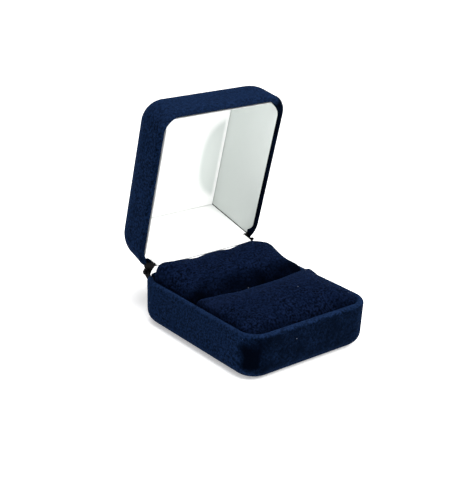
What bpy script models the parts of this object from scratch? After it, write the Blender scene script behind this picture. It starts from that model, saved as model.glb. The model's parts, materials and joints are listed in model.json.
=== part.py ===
"""Ring box with a snap lid: velour over pressed steel, two ring cushions and a satin-lined lid.

Metres, +Z up. The origin is the middle of the base's underside, the front is -Y and the hinge is at +Y.
Lid pieces are drawn with the lid shut and hang on an empty on the hinge axis, which turns them open.
"""

import math

import bmesh
import bpy
from mathutils import Matrix

# Outer sizes
WIDTH = 0.048
DEPTH = 0.0545
BASE_HEIGHT = 0.0145
LID_HEIGHT = 0.0165
CORNER_RADIUS = 0.0072
BASE_EDGE_RADIUS = 0.0044
LID_EDGE_RADIUS = 0.0094
BASE_DRAFT = 0.00025
LID_DRAFT = 0.0008

# Walls and the gaps between them
GAP = 0.0003
VELOUR = 0.0006
STEEL = 0.0004
HEM_DEPTH = 0.004
PARTING_GAP = 0.0003
SHELL_RIM_GAP = 0.00005

# Hinge
AXIS_BEHIND = 0.00056
OPEN_ANGLE = math.radians(77.25)
EAR_THICK = 0.0004
EAR_INSET = 0.0044
BOSS_RADIUS = 0.0012
EAR_REACH = 0.0034
NOSE_REACH = 0.0049
NOSE_RADIUS = 0.0004
NOSE_ANGLE = math.radians(30)
PIN_RADIUS = 0.0005
PIN_CLEARANCE = 0.00008
PIN_HEAD_RADIUS = 0.0007
PIN_HEAD_THICK = 0.0003

# Snap spring
SPRING_THICK = 0.0004
SPRING_HEIGHT = 0.002
RIVET_RADIUS = 0.0007
RIVET_SPACING = 0.020
RIVET_CLEARANCE = 0.0001

# Ring cushions
BOARD_THICK = 0.0008
PAD_VELOUR = 0.0005
PAD_SIDE_GAP = 0.0011
SLIT_PLACE = 0.0013
SLIT_WIDTH = 0.001
PAD_SHOULDER = 0.0017
PAD_REAR_GAP = 0.00085
REAR_CREST = 0.0056
REAR_FALL = 0.0042
REAR_CREST_PLACE = 0.8
FRONT_CREST = 0.0033
FRONT_FALL = 0.0024
FRONT_CREST_PLACE = -0.3
PAD_OUTER_RADIUS = 0.0048
PAD_SLIT_RADIUS = 0.002
PAD_ROUNDNESS = 12
FOAM_GAP = 0.00045

# Lid lining
LINER_CARD = 0.0006
CEILING_CARD = 0.0006
CEILING_MARGIN = 0.0014
CREASE_INSET_X = 0.011
CREASE_INSET_Y = 0.00985
WADDING_EDGE = 0.0007
CEILING_SINK = 0.0005
APRON_THICK = 0.0004
APRON_DROP = 0.0028
SATIN = 0.0003

# Fineness
CORNER_STEPS = 6
EDGE_STEPS = 6
FOLD_STEPS = 6
ROUND_STEPS = 24
ARC_STEPS = 8
PAD_RING_SCALES = (1, 0.985, 0.96, 0.92, 0.86, 0.76, 0.6, 0.4, 0.15)
CEILING_RING_SCALES = (1, 0.85, 0.7, 0.5, 0.3, 0.1)
SHARP_ANGLE = math.radians(40)
WELD = 1e-6

# Places that follow from the sizes
HALF_X = WIDTH / 2
HALF_Y = DEPTH / 2
RIM_WALL = 2 * VELOUR + STEEL + 2 * GAP
SHELL_INSET = VELOUR + GAP
FLOOR = SHELL_INSET + STEEL
LID_RIM = BASE_HEIGHT + PARTING_GAP
AXIS_Y = HALF_Y + AXIS_BEHIND
AXIS_Z = BASE_HEIGHT + PARTING_GAP / 2
LID_EAR_X = HALF_X - EAR_INSET
BASE_EAR_X = LID_EAR_X + EAR_THICK + GAP
SLOT_OUTER_X = BASE_EAR_X + EAR_THICK + GAP
SLOT_REACH = EAR_REACH + 2 * GAP

NAVY = (0.006, 0.016, 0.045)
CUSHION_NAVY = (0.005, 0.012, 0.040)
BLACK = (0.008, 0.008, 0.010)


def clear_scene():
    for obj in list(bpy.data.objects):
        bpy.data.objects.remove(obj)


def make_collection(name):
    collection = bpy.data.collections.new(name)
    bpy.context.scene.collection.children.link(collection)
    return collection


def make_material(name, colour, roughness, metallic=0.0):
    material = bpy.data.materials.new(name)
    material.use_nodes = True
    shader = material.node_tree.nodes["Principled BSDF"]
    shader.inputs["Base Color"].default_value = (*colour, 1)
    shader.inputs["Roughness"].default_value = roughness
    shader.inputs["Metallic"].default_value = metallic
    return material


def add_object(name, mesh, collection, material=None):
    obj = bpy.data.objects.new(name, mesh)
    collection.objects.link(obj)
    if material:
        mesh.materials.append(material)
        mesh.shade_smooth()
        mesh.set_sharp_from_angle(angle=SHARP_ANGLE)
    return obj


def add_cutter(name, mesh):
    cutter = add_object(name, mesh, cutters)
    cutter.hide_render = True
    cutter.display_type = "WIRE"
    return cutter


def boolean(obj, cutter, operation="DIFFERENCE"):
    step = obj.modifiers.new(cutter.name, "BOOLEAN")
    step.operation = operation
    step.object = cutter


def solidify(obj, thickness):
    wall = obj.modifiers.new("wall", "SOLIDIFY")
    wall.thickness = thickness
    wall.offset = -1
    wall.use_even_offset = True


# Outlines and lofts


def rounded_outline(half_x, low_y, high_y, low_radius, high_radius):
    """Points round a rectangle with round corners, anticlockwise from its right-hand side."""
    corners = [
        (half_x - high_radius, high_y - high_radius, high_radius, 0),
        (-half_x + high_radius, high_y - high_radius, high_radius, 90),
        (-half_x + low_radius, low_y + low_radius, low_radius, 180),
        (half_x - low_radius, low_y + low_radius, low_radius, 270),
    ]
    points = []
    for centre_x, centre_y, radius, start in corners:
        for step in range(CORNER_STEPS + 1):
            angle = math.radians(start + 90 * step / CORNER_STEPS)
            x = centre_x + radius * math.cos(angle)
            y = centre_y + radius * math.sin(angle)
            points.append((x, y))
    return points


def loft(name, rings, close_start=True, close_end=False, flip=False):
    """A skin through rings of points. A flipped skin has its faces turned the other way."""
    bm = bmesh.new()
    loops = [[bm.verts.new(point) for point in ring] for ring in rings]
    for lower, upper in zip(loops, loops[1:]):
        for i in range(len(lower)):
            j = (i + 1) % len(lower)
            bm.faces.new((lower[i], lower[j], upper[j], upper[i]))
    if close_start:
        bm.faces.new(reversed(loops[0]))
    if close_end:
        bm.faces.new(loops[-1])
    if flip:
        bmesh.ops.reverse_faces(bm, faces=bm.faces)
    mesh = bpy.data.meshes.new(name)
    bm.to_mesh(mesh)
    bm.free()
    return mesh


def plate_mesh(name, outline, low, high, across_x=False):
    """A flat plate from a closed outline: in (X, Y) and thick along Z, or in (Y, Z) and thick along X."""
    curve = bpy.data.curves.new(name, "CURVE")
    curve.dimensions = "2D"
    curve.fill_mode = "BOTH"
    curve.extrude = (high - low) / 2
    spline = curve.splines.new("POLY")
    spline.points.add(len(outline) - 1)
    for point, (a, b) in zip(spline.points, outline):
        point.co = (a, b, 0, 1)
    spline.use_cyclic_u = True
    shape = bpy.data.objects.new(name, curve)
    cutters.objects.link(shape)
    graph = bpy.context.evaluated_depsgraph_get()
    mesh = bpy.data.meshes.new_from_object(shape.evaluated_get(graph))
    bpy.data.objects.remove(shape)
    move = Matrix.Translation((0, 0, (low + high) / 2))
    if across_x:
        move = Matrix(((0, 0, 1, 0), (1, 0, 0, 0), (0, 1, 0, 0), (0, 0, 0, 1))) @ move
    bm = bmesh.new()
    bm.from_mesh(mesh)
    bmesh.ops.remove_doubles(bm, verts=bm.verts, dist=WELD)
    bmesh.ops.transform(bm, matrix=move, verts=bm.verts)
    bmesh.ops.recalc_face_normals(bm, faces=bm.faces)
    bm.to_mesh(mesh)
    bm.free()
    return mesh


def round_mesh(name, sections, centre, axis):
    """A turned piece along X or Y through (place along the axis, radius) sections, closed at both ends."""
    rings = []
    for place, radius in sections:
        ring = []
        for step in range(ROUND_STEPS):
            angle = 2 * math.pi * step / ROUND_STEPS
            a, b = radius * math.cos(angle), radius * math.sin(angle)
            if axis == "X":
                ring.append((place, centre[1] + a, centre[2] + b))
            else:
                ring.append((centre[0] + b, place, centre[2] + a))
        rings.append(ring)
    return loft(name, rings, close_end=True)


def block_mesh(name, low, high):
    bm = bmesh.new()
    bmesh.ops.create_cube(bm, size=1)
    size = [b - a for a, b in zip(low, high)]
    middle = [(a + b) / 2 for a, b in zip(low, high)]
    bmesh.ops.scale(bm, vec=size, verts=bm.verts)
    bmesh.ops.translate(bm, vec=middle, verts=bm.verts)
    mesh = bpy.data.meshes.new(name)
    bm.to_mesh(mesh)
    bm.free()
    return mesh


# Trays: the pressed shape of the base and of the lid


def tray_ring(inset, corner_inset, height, lean=0.0):
    """One level of a tray, drawn with its rim upwards and its closed side at 0."""
    radius = CORNER_RADIUS - corner_inset
    inset += lean
    outline = rounded_outline(HALF_X - inset, -HALF_Y + inset, HALF_Y - inset, radius, radius)
    return [(x, y, height) for x, y in outline]


def tray_rings(depth, edge_radius, draft, inset):
    """Levels from the closed side to just under the rim, this far inside the outer face."""
    radius = edge_radius - inset
    corner_rate = min(1, (CORNER_RADIUS - inset) / radius)
    rings = []
    for step in range(EDGE_STEPS + 1):
        angle = math.pi / 2 * step / EDGE_STEPS
        curve = radius * (1 - math.sin(angle))
        height = inset + radius * (1 - math.cos(angle))
        lean = draft * (1 - height / depth)
        corner = inset + min(curve * corner_rate, CORNER_RADIUS - inset - GAP)
        rings.append(tray_ring(inset + curve, corner, height, lean))
    return rings


def cover_rings(depth, edge_radius, draft):
    """The velour's outer face: closed side, wall, round over the rim and down inside as a hem."""
    rings = tray_rings(depth, edge_radius, draft, 0)
    fold = RIM_WALL / 2
    for step in range(FOLD_STEPS + 1):
        angle = math.pi * step / FOLD_STEPS
        inset = fold * (1 - math.cos(angle))
        rings.append(tray_ring(inset, inset, depth - fold + fold * math.sin(angle)))
    height = depth - fold - HEM_DEPTH
    rings.append(tray_ring(RIM_WALL, RIM_WALL, height, draft * (1 - height / depth)))
    return rings


def shell_rings(depth, edge_radius, draft):
    rings = tray_rings(depth, edge_radius, draft, SHELL_INSET)
    rim = depth - SHELL_INSET - SHELL_RIM_GAP
    rings.append(tray_ring(SHELL_INSET, SHELL_INSET, rim))
    return rings


def as_lid(rings):
    """Rings of an upright tray turned over onto the base."""
    top = LID_RIM + LID_HEIGHT
    return [[(x, -y, top - z) for x, y, z in ring] for ring in rings]


# Hinge ears, drawn in (Y, Z) from the hinge axis


def arc(centre, radius, start, end):
    """Points along an arc from start to end, in degrees."""
    points = []
    for step in range(ARC_STEPS + 1):
        angle = math.radians(start + (end - start) * step / ARC_STEPS)
        points.append((centre[0] + radius * math.cos(angle), centre[1] + radius * math.sin(angle)))
    return points


def shell_wall_y(x):
    """Middle of the steel wall in a rear corner, at this distance from the middle plane."""
    radius = CORNER_RADIUS - SHELL_INSET - STEEL / 2
    return HALF_Y - CORNER_RADIUS + math.sqrt(radius**2 - (x - HALF_X + CORNER_RADIUS) ** 2)


def ear_outline(x, up, nose):
    """From the boss on the axis to the steel wall. up is 1 towards the lid and -1 towards the base."""
    wall = shell_wall_y(x) - AXIS_Y
    points = arc((0, 0), BOSS_RADIUS, 70, -110)
    if nose:
        tip = (-NOSE_REACH * math.cos(NOSE_ANGLE), -NOSE_REACH * math.sin(NOSE_ANGLE))
        points += arc(tip, NOSE_RADIUS, -60, -240)
    inside = wall - STEEL / 2
    points += [(inside, BOSS_RADIUS), (inside, EAR_REACH), (inside + STEEL, EAR_REACH)]
    return [(AXIS_Y + y, AXIS_Z + up * z) for y, z in points]


def add_ears(shell, x, up, nose, parent):
    """Joins an ear to each rear corner of a shell and drills it for its pin."""
    bore = PIN_RADIUS + PIN_CLEARANCE
    for side in (-1, 1):
        low, high = sorted((side * x, side * (x + EAR_THICK)))
        outline = ear_outline(x + EAR_THICK / 2, up, nose)
        ear = add_cutter("ear", plate_mesh("ear", outline, low, high, across_x=True))
        hole_ends = [(low - GAP, bore), (high + GAP, bore)]
        hole = add_cutter("ear_hole", round_mesh("ear_hole", hole_ends, (0, AXIS_Y, AXIS_Z), "X"))
        for cutter in (ear, hole):
            hang(cutter, parent)
        boolean(shell, ear, "UNION")
        boolean(shell, hole)


def cut_slots(obj, outer_x, low, high, parent):
    """Room for the ears at both rear corners, from the lid ear's inner side out to outer_x."""
    for side in (-1, 1):
        x_low, x_high = sorted((side * (LID_EAR_X - GAP), side * outer_x))
        front = HALF_Y - CORNER_RADIUS
        slot = block_mesh("ear_slot", (x_low, front, low), (x_high, HALF_Y + DEPTH, high))
        cutter = add_cutter("ear_slot", slot)
        hang(cutter, parent)
        boolean(obj, cutter)


def hang(obj, parent):
    """Hangs a piece on an empty without moving it from where it is drawn."""
    if parent:
        obj.parent = parent
        obj.location = [-value for value in parent.location]


# The base


def make_base_tray():
    low, high = AXIS_Z - SLOT_REACH, AXIS_Z + SLOT_REACH
    rings = cover_rings(BASE_HEIGHT, BASE_EDGE_RADIUS, BASE_DRAFT)
    cover = add_object("base_cover", loft("base_cover", rings), part, velour)
    solidify(cover, VELOUR)
    cut_slots(cover, SLOT_OUTER_X, low, high, None)
    rings = shell_rings(BASE_HEIGHT, BASE_EDGE_RADIUS, BASE_DRAFT)
    shell = add_object("base_shell", loft("base_shell", rings), part, steel)
    solidify(shell, STEEL)
    cut_slots(shell, BASE_EAR_X, low, high, None)
    add_ears(shell, BASE_EAR_X, -1, False, None)
    return cover, shell


def make_pins():
    """Each pin passes through both ears of its corner and has a head at each end."""
    near = LID_EAR_X - GAP
    far = BASE_EAR_X + EAR_THICK + GAP
    sections = [
        (near - PIN_HEAD_THICK, PIN_HEAD_RADIUS),
        (near, PIN_HEAD_RADIUS),
        (near, PIN_RADIUS),
        (far, PIN_RADIUS),
        (far, PIN_HEAD_RADIUS),
        (far + PIN_HEAD_THICK, PIN_HEAD_RADIUS),
    ]
    for name, side in (("hinge_pin_left", -1), ("hinge_pin_right", 1)):
        placed = [(side * place, radius) for place, radius in sections[::side]]
        add_object(name, round_mesh(name, placed, (0, AXIS_Y, AXIS_Z), "X"), part, steel)


def strip_outline(gap, thick, half_x):
    """A strip that follows the inside of the rear wall and turns with it at both rear corners."""
    outer = CORNER_RADIUS - RIM_WALL - gap
    inner = outer - thick
    centre_x = HALF_X - CORNER_RADIUS
    centre_y = HALF_Y - CORNER_RADIUS
    end = math.degrees(math.acos((half_x - centre_x) / outer))
    right, left = (centre_x, centre_y), (-centre_x, centre_y)
    points = arc(right, outer, end, 90) + arc(left, outer, 90, 180 - end)
    points += arc(left, inner, 180 - end, 90) + arc(right, inner, 90, end)
    return points


def make_spring(cover, shell):
    """The snap spring bears on the noses of the lid's ears. Two flush rivets hold it to the rear wall."""
    top = AXIS_Z - NOSE_REACH * math.sin(NOSE_ANGLE) - NOSE_RADIUS - GAP
    low = top - SPRING_HEIGHT
    outline = strip_outline(GAP, SPRING_THICK, LID_EAR_X + EAR_THICK)
    strip = plate_mesh("snap_spring", outline, low, top)
    spring = add_object("snap_spring", strip, part, spring_steel)
    inner_y = HALF_Y - RIM_WALL - GAP - SPRING_THICK
    outer_y = HALF_Y - SHELL_INSET
    for name, side in (("spring_rivet_left", -1), ("spring_rivet_right", 1)):
        centre = (side * RIVET_SPACING / 2, 0, (low + top) / 2)
        bore = RIVET_RADIUS + RIVET_CLEARANCE
        hole_ends = [(inner_y - GAP, bore), (outer_y + GAP / 2, bore)]
        hole = add_cutter(name + "_hole", round_mesh("rivet_hole", hole_ends, centre, "Y"))
        for obj in (spring, cover, shell):
            boolean(obj, hole)
        ends = [(inner_y, RIVET_RADIUS), (outer_y, RIVET_RADIUS)]
        add_object(name, round_mesh(name, ends, centre, "Y"), part, spring_steel)


def make_board():
    """The card under the cushions, small enough to lie flat between the rounded bottom edges."""
    inset = RIM_WALL + GAP + BASE_EDGE_RADIUS / 2
    radius = CORNER_RADIUS - inset
    outline = rounded_outline(HALF_X - inset, -HALF_Y + inset, HALF_Y - inset, radius, radius)
    low = FLOOR + GAP
    add_object("pad_board", plate_mesh("pad_board", outline, low, low + BOARD_THICK), part, card)


def pad_rings(low_y, high_y, radii, crest_y, crest, fall, inset, foot):
    """A crowned cushion: upright sides, then rings that close in over a crown that falls from its crest."""
    half_x = HALF_X - RIM_WALL - PAD_SIDE_GAP - inset
    low_y += inset
    high_y -= inset
    middle = (low_y + high_y) / 2
    outline = rounded_outline(half_x, low_y, high_y, radii[0] - inset, radii[1] - inset)
    shoulder = BASE_HEIGHT - PAD_SHOULDER - inset
    top = BASE_HEIGHT + crest - inset
    reach = max(crest_y - low_y, high_y - crest_y)
    rings = [[(x, y, foot) for x, y in outline]]
    for scale in PAD_RING_SCALES:
        rise = 1 - scale**PAD_ROUNDNESS
        ring = []
        for x, y in outline:
            place = middle + (y - middle) * scale
            crown = top - fall * ((place - crest_y) / reach) ** 2
            ring.append((x * scale, place, shoulder + (crown - shoulder) * rise))
        rings.append(ring)
    return rings


def make_pads():
    """Each ring cushion is a foam block under a velour skin. The slit between them grips a ring's band."""
    edge_y = HALF_Y - RIM_WALL - PAD_SIDE_GAP
    rear_radii = (PAD_SLIT_RADIUS, PAD_OUTER_RADIUS)
    front_radii = (PAD_OUTER_RADIUS, PAD_SLIT_RADIUS)
    rear_low = SLIT_PLACE + SLIT_WIDTH / 2
    front_high = SLIT_PLACE - SLIT_WIDTH / 2
    rear_crest_y = edge_y * REAR_CREST_PLACE
    front_crest_y = edge_y * FRONT_CREST_PLACE
    rear = (rear_low, edge_y - PAD_REAR_GAP, rear_radii, rear_crest_y, REAR_CREST, REAR_FALL)
    front = (-edge_y, front_high, front_radii, front_crest_y, FRONT_CREST, FRONT_FALL)
    foot = FLOOR + 2 * GAP + BOARD_THICK
    for name, sizes in (("rear_pad", rear), ("front_pad", front)):
        skin = loft(name + "_cover", pad_rings(*sizes, 0, foot), close_start=False, close_end=True)
        cover = add_object(name + "_cover", skin, part, cushion_velour)
        solidify(cover, PAD_VELOUR)
        block = loft(name + "_foam", pad_rings(*sizes, PAD_VELOUR + FOAM_GAP, foot), close_end=True)
        add_object(name + "_foam", block, part, foam)


# The lid, drawn shut


def make_lid_tray(axis):
    depth = LID_HEIGHT
    rings = as_lid(cover_rings(depth, LID_EDGE_RADIUS, LID_DRAFT))
    cover = add_object("lid_cover", loft("lid_cover", rings), part, velour)
    solidify(cover, VELOUR)
    cut_slots(cover, SLOT_OUTER_X, AXIS_Z - SLOT_REACH, AXIS_Z + SLOT_REACH, axis)
    rings = as_lid(shell_rings(depth, LID_EDGE_RADIUS, LID_DRAFT))
    shell = add_object("lid_shell", loft("lid_shell", rings), part, steel)
    solidify(shell, STEEL)
    add_ears(shell, LID_EAR_X, 1, True, axis)
    hang(cover, axis)
    hang(shell, axis)


def hull_mesh(name, points):
    bm = bmesh.new()
    for point in points:
        bm.verts.new(point)
    bmesh.ops.convex_hull(bm, input=bm.verts)
    mesh = bpy.data.meshes.new(name)
    bm.to_mesh(mesh)
    bm.free()
    return mesh


def flap_points(rim, crease, rim_side, crease_side, side):
    """Corners of a sloping flap. rim and crease are its distances from the middle, and the side values
    are those of its neighbours, which it meets in a mitre."""
    low = LID_RIM + GAP
    high = LID_RIM + LID_HEIGHT - FLOOR - 2 * GAP - CEILING_CARD
    slope = (rim - crease) / (high - low)
    across = LINER_CARD * math.sqrt(1 + slope**2)
    mitre = GAP / math.sqrt(2)
    spread = (rim_side - crease_side) / (rim - crease)
    points = []
    corners = [(rim, low), (rim, low + across / slope), (crease, high), (crease + across, high)]
    for place, height in corners:
        reach = crease_side + (place - crease) * spread - mitre
        points += [(side * place, reach, height), (side * place, -reach, height)]
    return points


def liner_outline(rim_x, rim_y):
    """Room for the lining beside the ear slots. Its rear corners run out into them."""
    radius = CORNER_RADIUS - RIM_WALL - GAP
    turn_x, turn_y = rim_x - radius, rim_y - radius
    slot_outer, slot_inner = SLOT_OUTER_X - GAP, LID_EAR_X - GAP
    before = math.degrees(math.acos((SLOT_OUTER_X - turn_x) / radius)) - 3
    after = math.degrees(math.acos((slot_inner - turn_x) / radius))
    front = [point for point in rounded_outline(rim_x, -rim_y, rim_y, radius, radius) if point[1] < 0]
    right = arc((turn_x, turn_y), radius, 0, before)
    edge_y = turn_y + radius * math.sin(math.radians(after))
    right += [(slot_outer, right[-1][1] + 2 * GAP), (slot_outer, edge_y)]
    right += arc((turn_x, turn_y), radius, after, 90)
    return front + right + [(-x, y) for x, y in reversed(right)]


def make_flaps(axis):
    """Four satin-faced card flaps slope from the ceiling panel out to the rim.

    The rear one runs on past the rim as an apron that hides the hinge and tucks in behind the cushion.
    """
    rim_x = HALF_X - RIM_WALL - GAP
    rim_y = HALF_Y - RIM_WALL - GAP
    crease_x = HALF_X - CREASE_INSET_X
    crease_y = HALF_Y - CREASE_INSET_Y
    radius = CORNER_RADIUS - RIM_WALL - GAP
    outline = rounded_outline(rim_x, -rim_y, rim_y, radius, radius)
    block = plate_mesh("liner_limit", outline, LID_RIM, LID_RIM + LID_HEIGHT)
    limit = add_cutter("liner_limit", block)
    hang(limit, axis)
    outline = liner_outline(rim_x, rim_y)
    corners = plate_mesh("liner_corners", outline, LID_RIM - GAP, AXIS_Z + SLOT_REACH - GAP)
    run_out = add_cutter("liner_corners", corners)
    hang(run_out, axis)
    boolean(limit, run_out, "UNION")
    for name, side in (("liner_left_flap", -1), ("liner_right_flap", 1)):
        mesh = hull_mesh(name, flap_points(rim_x, crease_x, rim_y, crease_y, side))
        add_flap(name, mesh, limit, axis)
    flap = None
    for name, side in (("liner_front_flap", -1), ("liner_rear_flap", 1)):
        points = flap_points(rim_y, crease_y, rim_x, crease_x, side)
        flap = add_flap(name, hull_mesh(name, [(y, x, z) for x, y, z in points]), limit, axis)
    outline = strip_outline(GAP + SHELL_RIM_GAP, APRON_THICK, LID_EAR_X - 2 * GAP)
    strip = plate_mesh("apron", outline, LID_RIM - APRON_DROP, LID_RIM + 2 * APRON_THICK)
    apron = add_cutter("apron", strip)
    hang(apron, axis)
    boolean(flap, apron, "UNION")


def add_flap(name, mesh, limit, axis):
    flap = add_object(name, mesh, part, satin)
    boolean(flap, limit, "INTERSECT")
    hang(flap, axis)
    return flap


def dished_rings(half_x, half_y, radius, edge_z):
    """Rings that close in over a shallow dish, sunk into the lid in the middle."""
    outline = rounded_outline(half_x, -half_y, half_y, radius, radius)
    rings = []
    for scale in CEILING_RING_SCALES:
        ring = []
        for x, y in outline:
            x, y = x * scale, y * scale
            share = (1 - (x / half_x) ** 2) * (1 - (y / half_y) ** 2)
            ring.append((x, y, edge_z + CEILING_SINK * share))
        rings.append(ring)
    return rings


def make_ceiling(axis):
    """A card panel, a wadding that is thicker towards its edges, and a satin face stretched over it."""
    card_low = LID_RIM + LID_HEIGHT - FLOOR - GAP - CEILING_CARD
    half_x = HALF_X - CREASE_INSET_X
    half_y = HALF_Y - CREASE_INSET_Y
    card_x, card_y = half_x + CEILING_MARGIN, half_y + CEILING_MARGIN
    outline = rounded_outline(card_x, -card_y, card_y, CEILING_MARGIN, CEILING_MARGIN)
    board = plate_mesh("ceiling_card", outline, card_low, card_low + CEILING_CARD)
    pieces = [add_object("ceiling_card", board, part, card)]
    half_x -= 2 * GAP
    half_y -= 2 * GAP
    top = card_low - GAP
    bottom = top - WADDING_EDGE
    wadding = dished_rings(half_x, half_y, 2 * GAP, bottom)
    wadding.insert(0, [(x, y, top) for x, y, _ in wadding[0]])
    mesh = loft("ceiling_wadding", wadding, close_end=True, flip=True)
    pieces.append(add_object("ceiling_wadding", mesh, part, foam))
    face = dished_rings(half_x, half_y, 2 * GAP, bottom - GAP)
    mesh = loft("ceiling_satin", face, close_start=False, close_end=True)
    sheet = add_object("ceiling_satin", mesh, part, satin)
    solidify(sheet, SATIN)
    pieces.append(sheet)
    for piece in pieces:
        hang(piece, axis)


def make_axis():
    axis = bpy.data.objects.new("lid_axis", None)
    part.objects.link(axis)
    axis.location = (0, AXIS_Y, AXIS_Z)
    return axis


clear_scene()
part = make_collection("ring_box")
cutters = make_collection("cutters")
velour = make_material("velour", NAVY, 0.9)
cushion_velour = make_material("cushion_velour", CUSHION_NAVY, 0.9)
steel = make_material("black_steel", BLACK, 0.45, 1.0)
spring_steel = make_material("spring_steel", (0.35, 0.36, 0.38), 0.35, 1.0)
satin = make_material("white_satin", (0.86, 0.88, 0.87), 0.35)
card = make_material("card", (0.55, 0.52, 0.46), 0.9)
foam = make_material("foam", (0.7, 0.68, 0.6), 0.95)

lid_axis = make_axis()
base_cover, base_shell = make_base_tray()
make_pins()
make_spring(base_cover, base_shell)
make_board()
make_pads()
make_lid_tray(lid_axis)
make_flaps(lid_axis)
make_ceiling(lid_axis)
lid_axis.rotation_euler.x = -OPEN_ANGLE
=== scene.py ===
"""Ring box with a snap lid: velour covers, ring cushions and satin lining, round its CAD frame.

It is run as a script. Metres, in the frame's own axes: the front is -Y, the hinge is at +Y and the base
stands on Z = 0. Lid pieces are drawn with the lid shut and are then turned open about the hinge.
"""

import json
import math

import bmesh
import bpy
from bpy.props import FloatProperty, FloatVectorProperty, PointerProperty
from mathutils import Matrix, Vector


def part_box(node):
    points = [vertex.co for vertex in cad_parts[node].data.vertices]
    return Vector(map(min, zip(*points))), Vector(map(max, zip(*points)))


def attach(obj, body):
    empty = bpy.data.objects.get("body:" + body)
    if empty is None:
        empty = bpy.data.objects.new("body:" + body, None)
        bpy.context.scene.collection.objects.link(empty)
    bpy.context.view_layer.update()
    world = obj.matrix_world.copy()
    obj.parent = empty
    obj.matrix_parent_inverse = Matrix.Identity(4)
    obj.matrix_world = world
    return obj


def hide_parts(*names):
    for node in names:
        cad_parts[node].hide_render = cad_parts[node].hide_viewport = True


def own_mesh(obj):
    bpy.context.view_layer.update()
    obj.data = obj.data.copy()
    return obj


bl_info = {
    "name": "Ring Box",
    "version": (1, 0, 0),
    "blender": (4, 5, 0),
    "location": "View3D > Sidebar > Ring Box",
    "description": "Covers, cushions, lining and finishes of a velour ring box",
    "category": "Object",
}

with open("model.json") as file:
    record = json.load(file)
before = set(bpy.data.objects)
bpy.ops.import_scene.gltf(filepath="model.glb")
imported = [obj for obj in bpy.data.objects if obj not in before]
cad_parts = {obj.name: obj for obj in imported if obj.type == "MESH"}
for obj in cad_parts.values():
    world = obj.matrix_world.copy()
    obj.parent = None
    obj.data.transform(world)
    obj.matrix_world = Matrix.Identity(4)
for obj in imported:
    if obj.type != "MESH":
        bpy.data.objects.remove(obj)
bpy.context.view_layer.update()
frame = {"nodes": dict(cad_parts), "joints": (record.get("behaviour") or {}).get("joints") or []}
cover_low, cover_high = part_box("base_cover")
hinge = frame["joints"][0]
AXIS = Vector(hinge["pos_m"])
OPEN_ANGLE = math.radians(hinge["range_deg"][1])

# Fineness of the new pieces
CORNER_STEPS = 12
EDGE_STEPS = 12
WALL_STEPS = 7
FOLD_STEPS = 10
ROLL_STEPS = 5
SIDE_CUTS = 47
SHARP_ANGLE = math.radians(40)
MERGE = 2e-6

# Covers: the least corner radius, edges longer than this are straight walls, and clumps of pile are this wide
LEAST_CORNER = 0.0003
LONG_EDGE = 0.004
PILE_CLUMP = 0.0011

# Pile: how it shines, how far its clumps stand out as a share of the nap, and how high it starts
COVER_SHEEN = 0.09
CUSHION_SHEEN = 0.05
COVER_NAP, COVER_NAP_START = 1.0, 0.0006
CUSHION_NAP, CUSHION_NAP_START = 0.8, 0.0005

# Strength, from 0 to 1, of worn pile, of painted light along a cushion's crest, and of painted shade
RIM_WEAR = 0.6
FOOT_WEAR = 0.2
LID_FRONT_WEAR = 0.4
# Painted light: a lighter band along the front cushion's crest, beside the slit
CREST_LIGHT = 0.35
# Painted shade on the base's front wall
FRONT_SHADE = 0.72
# Painted shade round the upright corners, strongest at the front left one
FRONT_LEFT_CORNER_SHADE = 1.0
OTHER_CORNER_SHADE = 0.3
# Painted shade on the turned-in velour along the lid's right-hand rim
LID_SIDE_SHADE = 0.9
# Painted shade on the front face of the front cushion
CUSHION_FRONT_SHADE = 0.45
# Painted shade on the rear cushion's slope down into the slit between the cushions
SLIT_SHADE = 0.8

# Where each starts and where it is full, as distances short of the edge that it runs along
RIM_WEAR_BAND = (0.0009, 0.0001)
FOOT_WEAR_BAND = (0.0030, 0.0012)
LID_FRONT_WEAR_BAND = (0.0070, 0.0020)
CREST_LIGHT_BAND = (0.0130, 0.0050)
FRONT_SHADE_BAND = (0.0040, 0.0008)
FRONT_SHADE_END = (0.0012, 0.0002)
CORNER_SHADE_END = (0.0050, 0.0006)
LID_SIDE_SHADE_BAND = (0.003, 0.001)
CUSHION_FRONT_SHADE_BAND = (0.0085, 0.0040)

# Where others start and are full, as places past a line: above the foot, in from the side, behind the slit
CORNER_SHADE_START = (0.0012, 0.0050)
LID_SIDE_STEP = (0.0, 0.001)
SLIT_SHADE_END = (0.0025, 0.0090)

# The painted shade round an upright corner: its reach to each side, the share of that at full strength, and
# how its edge wavers up the wall
CORNER_SHADE_REACH = 0.0054
CORNER_SHADE_FULL = 0.3
CORNER_SHADE_WAVER = 0.0007
CORNER_SHADE_WAVES = 700

# Cloth is simulated on pieces enlarged this much, because the solver is made for larger things
SIM_SCALE = 25
SIM_FRAMES = 20
AIR_PRESSURE = 4
VOXEL = 0.0006

# Cushions: the cloth is held up to this far above its foot, and its width is measured in slices this high
HELD_FOOT = 0.0015
SLICE = 0.0004

# The rounding at the top of a cushion's ends, and the most that they are widened
END_ROUNDING = 0.0026
MOST_WIDENING = 1.16

# Above the shoulder, a cushion's top edges are lifted from a rounder outline to a squarer one
SHOULDER = 0.0128
TOP_ROUND, TOP_SQUARE = 12, 40
OUTERMOST = 0.985
MOST_LIFT = 2.4

# Seen from above, a cushion's corners go from a rounder outline to a squarer one, and its middle stays
PLAN_ROUND, PLAN_SQUARE = 4, 9
PLAN_MIDDLE = 0.1

# Gaps from the cushions to the base's walls, and how they are smoothed
END_GAP = 0.0003
WALL_GAP = 0.0002
SOFTENING = 0.5
SOFTENING_TURNS = 14

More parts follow.
